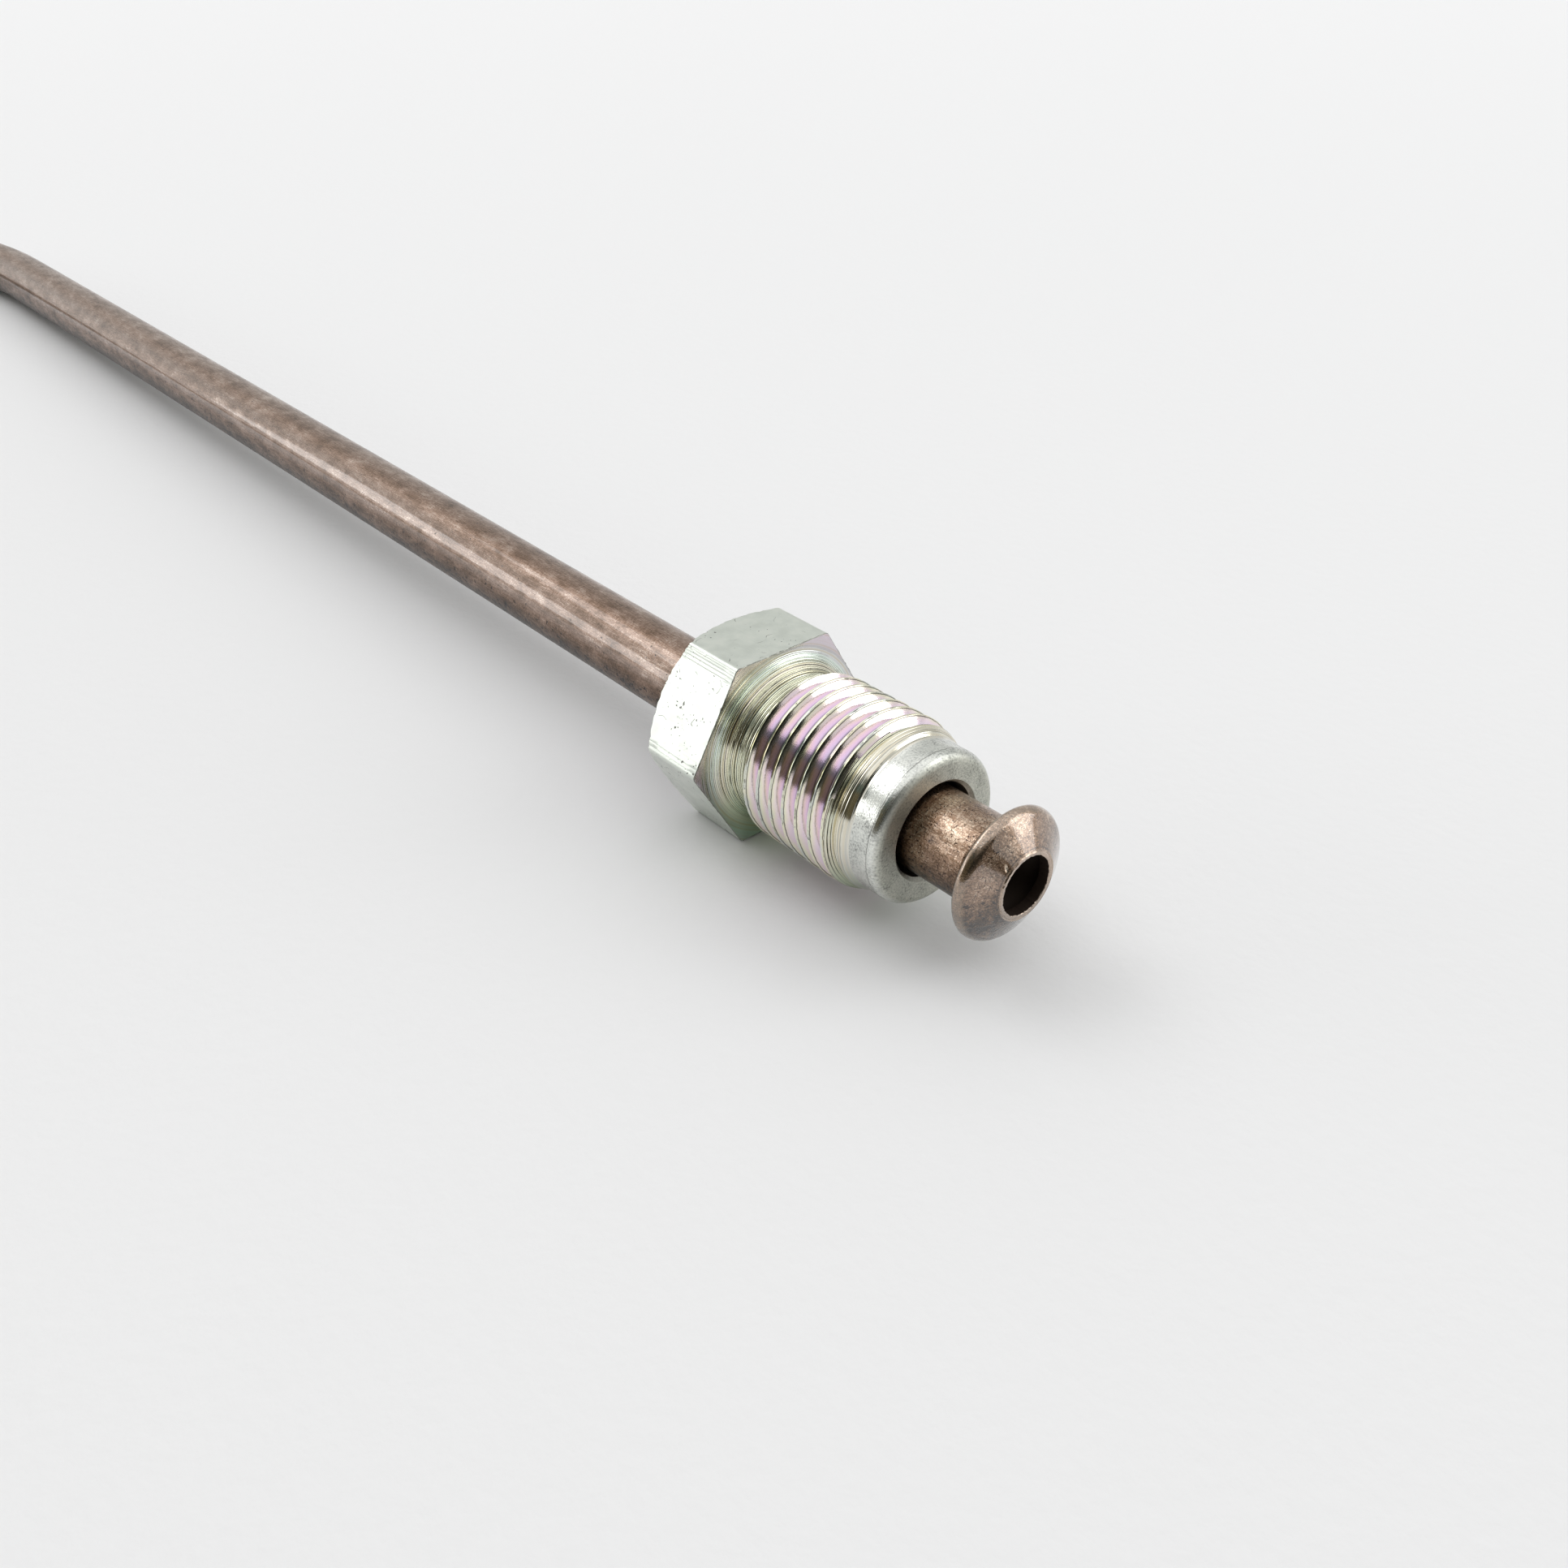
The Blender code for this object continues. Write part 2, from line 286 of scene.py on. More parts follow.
def pipe_zones(tree, along):
    """Masks of the flares, of the stretches that the nuts leave bare, and of all the rest."""
    from_rear = add_node(tree, "Math", [PIPE_LENGTH, along], operation="SUBTRACT")
    from_end = add_node(tree, "Math", [along, from_rear], operation="MINIMUM")
    flared = add_node(tree, "Math", [from_end, 0.0, FLARE_END], operation="COMPARE")
    bared = add_node(tree, "MapRange", [from_end, CLAMP_FADES_TO, CLAMP_FADES_FROM])
    behind = add_node(tree, "Math", [1.0, bared], operation="SUBTRACT")
    return flared, bared, behind


NICK_PLACE = (1.50 * MM, -1.56 * MM, 0.17 * MM)
NICK_SIZE = (0.11 * MM, 0.28 * MM, 0.22 * MM)


def nick_dent(tree, place):
    """0 in the small nick beside the mouth, rising to 1 round it."""
    scale = tuple(1 / size for size in NICK_SIZE)
    shift = tuple(-centre / size for centre, size in zip(NICK_PLACE, NICK_SIZE))
    near = add_node(tree, "Mapping", {"Vector": place, "Location": shift, "Scale": scale})
    reach = add_node(tree, "VectorMath", [near], operation="LENGTH")
    return add_node(tree, "MapRange", [reach, 0.3, 1.0], interpolation_type="SMOOTHSTEP")


print("the bare stretch fades out from", CLAMP_FADES_FROM / MM, "to", CLAMP_FADES_TO / MM, "mm")

# %% [markdown]
# The oxide is a thin brown skin on bright metal. Where it is thick it is nearly
# black, and where hands and tools rubbed it the metal shines through, as on the
# crown of the flare and the edge of its mouth. One number, how bare the metal
# is, picks the colour and the gloss together, because rubbing changes both. The
# skin's own shine is a coat with a calmer bump than the metal under it.

# %% Copper-nickel, drawn and dulled
PIPE_GRIT = 0.6
CROWN_FROM = 3.35 * MM
CROWN_TO = 3.60 * MM
LIP_RING = 1.96 * MM
LIP_RING_FADE = 0.05 * MM
LIP_LINE = 2.03 * MM
LIP_LINE_HALF = 0.035 * MM
SKIN_SIDE = 1.2 * MM
SKIN_HALF = 0.5 * MM
SKIN_FADE = 0.5 * MM
DRAWN_RELIEF = 0.015 * MM


def drawn_copper_nickel():
    """Bright metal under brown oxide, with drawing lines, scratches, stains and fine pits."""
    material, tree = new_material("drawn_copper_nickel")
    place = add_node(tree, "Attribute", attribute_name="straightened").outputs["Vector"]
    parts = add_node(tree, "SeparateXYZ", {"Vector": place})
    side = parts.outputs["Y"]
    flared, bared, behind = pipe_zones(tree, parts.outputs["Z"])
    clamped = add_node(tree, "Math", [bared, flared], operation="SUBTRACT")
    lines = noise(tree, place, 0.05, 0.8, 3.0, PIPE_GRIT)
    scuffs = noise(tree, place, 0.25, 0.06, 3.0, PIPE_GRIT)
    speckle = noise(tree, place, 0.10, 0.13, 4.0, PIPE_GRIT)
    stains = noise(tree, place, 0.9, 1.8, 4.0, PIPE_GRIT)
    blots = noise(tree, place, 0.34, 0.40, 2.0, PIPE_GRIT)
    # Painted shade: the pipe's underside is made darker and browner, standing in for the shaded table that
    # it mirrors. The same mask gives the underside more pits, which are real.
    underside_shade_and_pits = add_node(tree, "MapRange", [side, -0.9 * MM, 1.1 * MM, 0.0, -0.10])
    grit = add_node(tree, "Math", [bared, 0.16, 0.18], operation="MULTIPLY_ADD")
    bareness = weighted_sum(tree, [(lines, 0.24), (scuffs, 0.16), (speckle, grit), (stains, 0.31),
                                   (underside_shade_and_pits, 1.15), (clamped, 0.03), (bared, -0.075), (1.0, 0.058)])
    brown = ramp_stops(add_node(tree, "ValToRGB", {"Fac": bareness}), [
        (0.36, "#3A2A1C"), (0.45, "#755B45"), (0.53, "#9B7F69"), (0.62, "#D2BDA8")])
    contour = add_node(tree, "Math", [blots, 0.5, 0.020], operation="COMPARE")
    broken = add_node(tree, "MapRange", [speckle, 0.42, 0.52, 0.0, bared])
    scratched = shaded(tree, brown, contour, broken, "#5A4636")
    blotted = weighted_sum(tree, [(blots, 1.0), (underside_shade_and_pits, 1.8)])
    pits = add_node(tree, "MapRange", [blotted, 0.24, 0.30, 1.0, 0.0])
    pitted = shaded(tree, scratched, pits, 1.0, "#685547")

    reach = from_axis(tree, place)
    crown = add_node(tree, "MapRange", [reach, CROWN_FROM, CROWN_TO, 0.0, 0.22],
                     interpolation_type="SMOOTHSTEP")
    burnished = add_node(tree, "Mix", {
        "Factor": crown, "A": pitted, "B": linear("#D2BFA8")}, data_type="RGBA")
    ring = add_node(tree, "MapRange", [reach, LIP_RING, LIP_RING - LIP_RING_FADE, 0.0, 0.42])
    lip = add_node(tree, "Mix", {"Factor": ring, "A": burnished, "B": linear("#D9C2AC")}, data_type="RGBA")
    # Painted shade: a thin dark line on the cone just outside the lip, standing in for the shade of the
    # lip's groove.
    on_line = add_node(tree, "Math", [reach, LIP_LINE, LIP_LINE_HALF], operation="COMPARE")
    painted_dark_lines = shaded(tree, lip, on_line, 0.55, "#5C4A3C")
    dent = nick_dent(tree, place)
    bright_nick = add_node(tree, "MapRange", [dent, 0.0, 1.0, 0.85, 0.0])
    nicked = add_node(tree, "Mix", {
        "Factor": bright_nick, "A": painted_dark_lines, "B": linear("#F3E2CE")}, data_type="RGBA")
    cooler = shaded(tree, nicked, behind, 1.0, "#F1F4FF")

    gloss = add_node(tree, "MapRange", [bareness, 0.40, 0.60, 0.40, 0.26])
    polish = add_node(tree, "Math", [flared, -0.12, gloss], operation="MULTIPLY_ADD")
    height = weighted_sum(tree, [(lines, 0.5), (scuffs, 0.3), (speckle, 0.5), (pits, -0.8), (dent, 2.0)])
    bump = add_node(tree, "Bump", {"Height": height, "Distance": DRAWN_RELIEF})
    soft = weighted_sum(tree, [(stains, 0.5), (pits, -0.5)])
    soft_bump = add_node(tree, "Bump", {"Height": soft, "Distance": DRAWN_RELIEF})
    off_side = add_node(tree, "Math", [side, SKIN_SIDE], operation="ADD")
    from_side = add_node(tree, "Math", [off_side], operation="ABSOLUTE")
    rubbed = add_node(tree, "MapRange", [from_side, SKIN_HALF, SKIN_HALF + SKIN_FADE, 0.0, behind])
    skin = weighted_sum(tree, [(clamped, -0.45), (rubbed, -0.65), (behind, 0.22), (flared, 0.30),
                               (1.0, 0.66)])
    return finished(material, add_node(tree, "BsdfPrincipled", {
        "Base Color": cooler, "Metallic": 1.0, "Roughness": polish, "Normal": bump,
        "Coat Weight": skin, "Coat Roughness": 0.08, "Coat IOR": 2.0, "Coat Normal": soft_bump}))


def oxidised_bore():
    """The inside of the pipe is never polished: it stays dull and nearly black."""
    material, tree = new_material("oxidised_copper_nickel_bore")
    return finished(material, add_node(tree, "BsdfPrincipled", {
        "Base Color": linear("#33271F"), "Metallic": 0.6, "Roughness": 0.65}))


pipe_metals = [drawn_copper_nickel(), oxidised_bore()]

# %% [markdown]
# The nuts are turned from hexagonal steel bar and zinc plated. The clear film
# that protects the zinc is thinner than a wavelength of light, so it shows faint
# pink, yellow and green where its thickness changes: at the crests and in the
# grooves. Here those tints are painted by real place on the nut, not by the
# view, so they stay where they are when the nut is seen from another side.
#
# The thread is rolled, not cut, so its flanks are the smoothest metal on the
# nut. They give the eye sharp, bright reflections, tinted cream, pink and lilac
# from crest to root. The roots are painted darker as painted shade, and a thin
# dark line is painted along the edge of each crest; those two dark lines are
# what makes the thread look crisp. Distance from the axis picks the tint, which
# costs less than painting each turn. The plating's own grain is too fine to
# show, and is drawn as coarse as it needs to.

# %% Zinc on the threads
THREAD_DIAMETER = 9.8 * MM
THREAD_RADIUS = THREAD_DIAMETER / 2
THREAD_DEPTH = 0.6 * MM
ROOT_SHADE_FROM = THREAD_RADIUS - 0.59 * MM
ROOT_SHADE_TO = THREAD_RADIUS - 0.50 * MM
CREST_LINE = THREAD_RADIUS - 0.042 * MM
CREST_LINE_HALF = 0.024 * MM


def zinc_on_threads():
    """Smooth rolled flanks: cream at the crest, then pink and lilac, blue-grey by the root."""
    material, tree = new_material("bright_zinc_threads")
    place = add_node(tree, "TexCoord").outputs["Object"]
    reach = from_axis(tree, place)
    down_flank = add_node(tree, "MapRange", [reach, THREAD_RADIUS, THREAD_RADIUS - THREAD_DEPTH, 0.1, 0.8],
                          clamp=False)
    drift = add_node(tree, "MapRange", [noise(tree, place, 1.8, 1.8, 3.0), 0.3, 0.7, -0.13, 0.13])
    film = add_node(tree, "Math", [down_flank, drift], operation="ADD")
    tint = ramp_stops(add_node(tree, "ValToRGB", {"Fac": film}), [
        (0.06, "#DADDD6"), (0.17, "#F0EDD4"), (0.30, "#F4E7E1"), (0.45, "#F4E1EC"), (0.70, "#ECDEF0"),
        (0.90, "#DCD8E1")])
    # Painted shade: the thread's roots are darkened, deep between the flanks.
    root = add_node(tree, "MapRange", [reach, ROOT_SHADE_FROM, ROOT_SHADE_TO, 0.7, 0.0])
    root_shaded = shaded(tree, tint, root, 1.0, "#7A7676")
    # A thin dark line is painted along the edge of each crest, made ragged by noise.
    ragged = weighted_sum(tree, [(noise(tree, place, 0.22, 0.22, 2.0), 0.05 * MM), (reach, 1.0)])
    on_edge = add_node(tree, "Math", [ragged, CREST_LINE, CREST_LINE_HALF], operation="COMPARE")
    edged = shaded(tree, root_shaded, on_edge, 0.75, "#3E3A3C")
    grain = noise(tree, place, 0.06, 0.06, 2.0)
    bump = add_node(tree, "Bump", {"Height": grain, "Distance": 0.002 * MM})
    return finished(material, add_node(tree, "BsdfPrincipled", {
        "Base Color": edged, "Metallic": 1.0, "Roughness": 0.13, "Normal": bump}))


thread_zinc = zinc_on_threads()

# %% [markdown]
# A lathe tool leaves rings, and the eye sees them as fine black and gold streaks
# round the neck. The black ones are mostly the dark cards mirrored in the rings,
# and they are also painted in as dark rings, a painted reflection, weaker on the
# lower side of the nut. A ring is told by its place along the cut: distance from
# the axis plus distance from the nose, which grows all the way over fillet, face
# and chamfer. The real feed of about 0.1 mm hardly shows at this size, so the
# rings are drawn as coarse as they need to show.

# %% Zinc on the turned faces
FEED = 0.125 * MM
FINE_RINGS = 0.19 * MM
BROAD_RINGS = 0.55 * MM
RING_RELIEF = 0.042 * MM
TAPER_FRONT = 6.4 * MM
TAPER_PATH = 8.5 * MM
FACE_PATH = 17.2 * MM


def zinc_on_turned_faces():
    """Tool rings round the axis, with tints that change along the nut."""
    material, tree = new_material("bright_zinc_turned")
    place = add_node(tree, "TexCoord").outputs["Object"]
    parts = add_node(tree, "SeparateXYZ", {"Vector": place})
    side_up = parts.outputs["Y"]
    path = add_node(tree, "Math", [from_axis(tree, place), parts.outputs["Z"]], operation="SUBTRACT")
    fine = ring_noise(tree, path, FINE_RINGS, 2.0, 0.6)
    broad = ring_noise(tree, path, BROAD_RINGS, 2.0, 0.6)
    turns = add_node(tree, "Math", [path, 2 * pi / FEED], operation="MULTIPLY")
    feed = add_node(tree, "Math", [turns], operation="SINE")
    clouds = noise(tree, place, 1.6, 1.6, 3.0)
    lower = add_node(tree, "MapRange", [side_up, 1 * MM, -3 * MM, 0.0, -0.9 * MM])
    drift = weighted_sum(tree, [(clouds, 0.5 * MM), (broad, 0.9 * MM), (path, 1.0), (lower, 1.0)])
    share = add_node(tree, "MapRange", [drift, 6.7 * MM, 18.9 * MM])
    tint = ramp_stops(add_node(tree, "ValToRGB", {"Fac": share}), [
        (0.0, "#E0DFD7"), (0.10, "#E6E2D0"), (0.18, "#DDE6DA"), (0.64, "#F1F2DC"), (0.74, "#EBEFDA"),
        (0.81, "#F2ECDA"), (0.87, "#DAE6DE"), (0.93, "#D3CBD0"), (1.0, "#DCD0DA")])
    gold = add_node(tree, "MapRange", [fine, 0.52, 0.72, 0.0, 0.45])
    gilded = shaded(tree, tint, gold, 1.0, "#E3CDA0")
    green = add_node(tree, "MapRange", [side_up, -1 * MM, -3 * MM, 0.0, 0.8])
    greened = shaded(tree, gilded, green, 1.0, "#D3E6D8")

    calm_face = add_node(tree, "MapRange", [path, FACE_PATH - 0.9 * MM, FACE_PATH, 1.0, 0.18])
    calm_front = add_node(tree, "MapRange", [path, TAPER_FRONT, TAPER_FRONT + 1.2 * MM, 0.15])
    calm = add_node(tree, "Math", [calm_face, calm_front], operation="MINIMUM")
    # The painted dark rings and the ring bumps are both weaker on the lower side of the nut.
    ring_strength_by_side = add_node(tree, "MapRange", [side_up, -3.2 * MM, -1.0 * MM, 0.3, 0.98])
    uneven = weighted_sum(tree, [(fine, 1.0), (noise(tree, place, 0.7, 0.7, 3.0), 0.2)])
    # Painted reflection: dark rings multiplied into the colour stand in for the dark cards mirrored in the
    # tool rings.
    ring_reflection_mask = add_node(tree, "MapRange", [uneven, 0.46, 0.51, ring_strength_by_side, 0.0])
    painted_dark_lines = shaded(tree, greened, ring_reflection_mask, calm, "#35342F")
    rough_cut = add_node(tree, "MapRange", [path, TAPER_PATH, TAPER_PATH + 0.4 * MM, 1.3, 1.9])
    cut = weighted_sum(tree, [(fine, 1.0), (broad, 0.9), (feed, 0.12)])
    sharp_cut = add_node(tree, "Math", [rough_cut, ring_strength_by_side], operation="MULTIPLY")
    rings = add_node(tree, "Math", [cut, sharp_cut], operation="MULTIPLY")
    bump = add_node(tree, "Bump", {"Height": rings, "Strength": calm, "Distance": RING_RELIEF})
    return finished(material, add_node(tree, "BsdfPrincipled", {
        "Base Color": painted_dark_lines, "Metallic": 1.0, "Roughness": 0.13, "Normal": bump}))


turned_zinc = zinc_on_turned_faces()

# %% [markdown]
# The nose seats on the back of the flare. It has been rubbed there, so it is
# satin where the thread is bright, with soft grey clouds, fine circles and a
# dull end face. The end face, which faces the flare, is also painted a little
# darker as painted shade. The eye reads that as a worn edge. One thin dark line
# marks where the rubbing stops.

# %% Zinc on the nose
NOSE_DIRT = -0.52 * MM
NOSE_DIRT_HALF = 0.03 * MM
NOSE_RINGS = 0.09 * MM


def zinc_on_nose():
    """The nose has rubbed on seats and other nuts: satin, with fine grey scuffs."""
    material, tree = new_material("rubbed_zinc_nose")
    place = add_node(tree, "TexCoord").outputs["Object"]
    height = add_node(tree, "SeparateXYZ", {"Vector": place}).outputs["Z"]
    scuffs = noise(tree, place, 0.11, 0.11, 4.0)
    clouds = noise(tree, place, 1.1, 1.1, 4.0)
    mark = weighted_sum(tree, [(scuffs, 0.62), (clouds, 0.38)])
    stained = ramp_stops(add_node(tree, "ValToRGB", {"Fac": mark}), [
        (0.34, "#989A96"), (0.44, "#C8CAC5"), (0.54, "#DCDED8"), (0.66, "#EAEBE4")])
    ragged = weighted_sum(tree, [(noise(tree, place, 0.25, 0.25, 3.0), 0.16 * MM), (height, 1.0)])
    on_line = add_node(tree, "Math", [ragged, NOSE_DIRT, NOSE_DIRT_HALF], operation="COMPARE")
    marked = shaded(tree, stained, on_line, 0.55, "#6F6E6C")
    # Painted shade: the end face, which faces the flare, is painted darker; below it is also made rougher.
    face = add_node(tree, "MapRange", [height, -0.3 * MM, -0.05 * MM])
    face_shaded = shaded(tree, marked, face, 1.0, "#DDDCD6")
    gloss = add_node(tree, "MapRange", [mark, 0.4, 0.6, 0.26, 0.14])
    dull = add_node(tree, "Math", [face, 0.3, gloss], operation="MULTIPLY_ADD")
    path = add_node(tree, "Math", [from_axis(tree, place), height], operation="SUBTRACT")
    relief = weighted_sum(tree, [(scuffs, 1.0), (ring_noise(tree, path, NOSE_RINGS, 3.0), 1.1)])
    bump = add_node(tree, "Bump", {"Height": relief, "Distance": 0.007 * MM})
    return finished(material, add_node(tree, "BsdfPrincipled", {
        "Base Color": face_shaded, "Metallic": 1.0, "Roughness": dull, "Normal": bump}))


nose_zinc = zinc_on_nose()

# %% [markdown]
# The flats are never machined: they keep the skin of the drawn bar under the
# zinc. The eye sees even satin, slightly green, with a few hair scratches and
# small dark pits in groups. A hair scratch is drawn where smooth noise crosses
# one value, which gives a thin wandering line without any texture image.

# %% Zinc on the flats
FRONT_EDGE = -11.72 * MM
FRONT_EDGE_HALF = 0.03 * MM
HAIR_HALF = 0.0035


def zinc_on_flats():
    """The bar's cold-drawn flats: satin grey-green, with hair scratches and clustered pits."""
    material, tree = new_material("satin_zinc_flats")
    place = add_node(tree, "TexCoord").outputs["Object"]
    parts = add_node(tree, "SeparateXYZ", {"Vector": place})
    lines = noise(tree, place, 1 / 9, 2.5, 3.0)
    clouds = noise(tree, place, 0.9, 0.9, 4.0)
    satin = ramp_stops(add_node(tree, "ValToRGB", {"Fac": clouds}), [
        (0.35, "#D2D7CF"), (0.50, "#D9DED6"), (0.65, "#DFE3DB")])
    wander = noise(tree, place, 1.6, 1.6, 1.0)
    hairs = add_node(tree, "Math", [wander, 0.5, HAIR_HALF], operation="COMPARE")
    sparse = add_node(tree, "MapRange", [noise(tree, place, 0.8, 0.8, 1.0), 0.58, 0.64])
    scratched = shaded(tree, satin, hairs, sparse, "#5E5E58")
    pit_size = noise(tree, place, 0.17, 0.17, 1.5)
    # Painted shade: a ragged dark line along the hexagon's front edge, where the flats meet the front face.
    ragged = weighted_sum(tree, [(pit_size, 0.10 * MM), (parts.outputs["Z"], 1.0)])
    on_edge = add_node(tree, "Math", [ragged, FRONT_EDGE, FRONT_EDGE_HALF], operation="COMPARE")
    edged = shaded(tree, scratched, on_edge, 0.7, "#5A554C")
    pit_patch = noise(tree, place, 1.9, 1.9, 1.0)
    grouped = weighted_sum(tree, [(pit_size, 1.0), (pit_patch, 0.35), (parts.outputs["X"], -9.0)])
    pits = add_node(tree, "MapRange", [grouped, 0.935, 0.965])
    pitted = add_node(tree, "Mix", {"Factor": pits, "A": edged, "B": linear("#6E6E6A")}, data_type="RGBA")
    relief = weighted_sum(tree, [(lines, 0.5), (clouds, 0.12), (pits, -1.5)])
    bump = add_node(tree, "Bump", {"Height": relief, "Distance": 0.01 * MM})
    return finished(material, add_node(tree, "BsdfPrincipled", {
        "Base Color": pitted, "Metallic": 1.0, "Roughness": 0.33, "Normal": bump}))


flat_zinc = zinc_on_flats()

# %% [markdown]
# Little of the hole shows, but it must not shine: a dull grey keeps the gap
# round the pipe dark, as it is on the real nut.

# %% Zinc inside the nut
def zinc_in_bore():
    """Plating hardly reaches the drilled hole: dull and grey."""
    material, tree = new_material("dull_zinc_bore")
    return finished(material, add_node(tree, "BsdfPrincipled", {
        "Base Color": linear("#8C8D88"), "Metallic": 1.0, "Roughness": 0.5}))


bore_zinc = zinc_in_bore()

# %% [markdown]
# The pipe as one skin. A flaring tool pushes the end of the pipe into a die, so
# the flare and the pipe are one piece of metal, hollow all the way through. The
# rows run down the outside from lip to lip and come back through the bore.

# %% The outline of a flare
PIPE_RADIUS = 4.75 / 2 * MM
BORE_RADIUS = PIPE_RADIUS - 0.75 * MM
LIP_RADIUS = BORE_RADIUS + 0.25 * MM
FLARE_RADIUS = 7.3 / 2 * MM
CONE_ANGLE = radians(60.0)
CROWN_ROUND = 0.6 * MM
BACK_ROUND = 0.25 * MM
ROOT_ROUND = 0.5 * MM
LIP_EDGE = 0.06 * MM
LIP_GROOVE = 0.06 * MM
FLARE_WALL = 0.65 * MM
FOLD_RADIUS = 4.6 / 2 * MM
FOLD_RUN_OUT = 0.85 * MM
DIE_MARK_START = 2.27 * MM
DIE_MARK_WIDTH = 0.3 * MM
DIE_MARK_HEIGHT = 0.03 * MM
ROUND_STEPS = 8
CONE_STEPS = 12
BACK_STEPS = 5


def flare_outside():
    """(distance from the lip, radius) down the outside of a flare, finely."""
    centre_radius = FLARE_RADIUS - CROWN_ROUND
    fall = CROWN_ROUND + (centre_radius - LIP_RADIUS) * cos(CONE_ANGLE)
    crown = fall / sin(CONE_ANGLE)
    back = crown + BACK_ROUND
    crown_arc = arc((crown, centre_radius), CROWN_ROUND, pi / 2 + CONE_ANGLE, pi / 2, ROUND_STEPS)
    end, end_radius = crown_arc[0]
    cone = [(end * i / CONE_STEPS, LIP_RADIUS + (end_radius - LIP_RADIUS) * i / CONE_STEPS)
            for i in range(1, CONE_STEPS)]
    groove = [(0.0, LIP_RADIUS - LIP_GROOVE), (LIP_GROOVE, LIP_RADIUS),
              (LIP_GROOVE / tan(CONE_ANGLE), LIP_RADIUS + LIP_GROOVE)]
    points = groove + cone + crown_arc
    points += arc((crown, FLARE_RADIUS - BACK_ROUND), BACK_ROUND, pi / 2, 0.0, BACK_STEPS)[1:]
    root = (back + ROOT_ROUND, PIPE_RADIUS + ROOT_ROUND)
    points += arc(root, ROOT_ROUND, pi, 3 * pi / 2, ROUND_STEPS)
    mark = [(DIE_MARK_START + DIE_MARK_WIDTH * i / 4, PIPE_RADIUS + DIE_MARK_HEIGHT * h)
            for i, h in enumerate((0.0, 0.8, 1.0, 0.6, 0.0))]
    return points + [p for p in mark if p[0] > points[-1][0]]


def flare_inside():
    """(distance from the lip, radius) of the hole through a flare, with the fold's groove."""
    fold = (FLARE_WALL + (FOLD_RADIUS - LIP_RADIUS) * cos(CONE_ANGLE)) / sin(CONE_ANGLE)
    mouth = fold - (FOLD_RADIUS - BORE_RADIUS) / tan(CONE_ANGLE)
    rim = arc((LIP_EDGE, BORE_RADIUS + LIP_EDGE), LIP_EDGE, pi, 3 * pi / 2, 4)
    return rim + [(mouth, BORE_RADIUS), (fold, FOLD_RADIUS), (fold + FOLD_RUN_OUT, BORE_RADIUS)]


print("points down one flare:", len(flare_outside()), "outside,", len(flare_inside()), "inside")

# %% [markdown]
# Between the flares the rows stand a few millimetres apart, and closer round
# the bend. The two ends use the same outline, mirrored.

# %% Rows along the pipe
PIPE_SIDES = 128
STRAIGHT_STEP = 4.0 * MM
BEND_ROW_STEP = 1.5 * MM


def both_ends(outline):
    """The outline at the front end, rows between, and the outline again at the rear end."""
    first = outline[-1][0]
    radius = outline[-1][1]
    bend_end = FRONT_RUN + BEND_RADIUS * BEND_ANGLE
    middle = spread(first, FRONT_RUN, STRAIGHT_STEP)[1:]
    middle += spread(FRONT_RUN, bend_end, BEND_ROW_STEP)[1:]
    middle += spread(bend_end, PIPE_LENGTH - first, STRAIGHT_STEP)[1:-1]
    rows = outline + [(distance, radius) for distance in middle]
    return rows + [(PIPE_LENGTH - distance, r) for distance, r in reversed(outline)]


outside_rows = both_ends(flare_outside())
inside_rows = both_ends(flare_inside())
pipe_rows = outside_rows + inside_rows[::-1]
print("rows round the pipe:", len(pipe_rows))

# %% [markdown]
# A flared end is never a perfect turning. The lip is a little ragged where the
# cut end folded in, and a tool left one bright nick beside the mouth.

# %% Small damage on the front lip
random.seed(475)
RAG_HEIGHT = 0.025 * MM
rag = [random.uniform(-1.0, 1.0) for _ in range(PIPE_SIDES)]
PIPE_ANGLES = [2 * pi * i / PIPE_SIDES for i in range(PIPE_SIDES + 1)]


def pipe_point(row, angle):
    """A point of the pipe's skin in the frame; angle 0 is the outside of the bend."""
    distance, radius = row
    point, forward = centre_line(distance)
    normal = FRONT_ALONG.cross(REAR_ALONG).normalized()
    out = forward.cross(normal)
    if distance < 3 * LIP_EDGE and radius < LIP_RADIUS - TOUCH:
        radius += RAG_HEIGHT * rag[round(angle / (2 * pi) * PIPE_SIDES) % PIPE_SIDES]
    return point + (out * cos(angle) + normal * sin(angle)) * radius


def pipe_slot(row, angle):
    """Slot 1, the dark bore, for every face inside the lip's rounded edge."""
    past_lip = LIP_EDGE - TOUCH < row[0] < PIPE_LENGTH - LIP_EDGE + TOUCH
    return 1 if row in inside_rows and past_lip else 0


pipe_mesh = skin_from_rows("brake_pipe_skin", pipe_rows, PIPE_ANGLES, pipe_point, pipe_metals, pipe_slot)

# %% [markdown]
# The pipe was drawn straight and bent afterwards, so its marks follow the bend.
# Each point is measured along the centre line and across it, and the three
# numbers are stored on the mesh for the material to read. A plain projection
# would smear the marks round the bend.

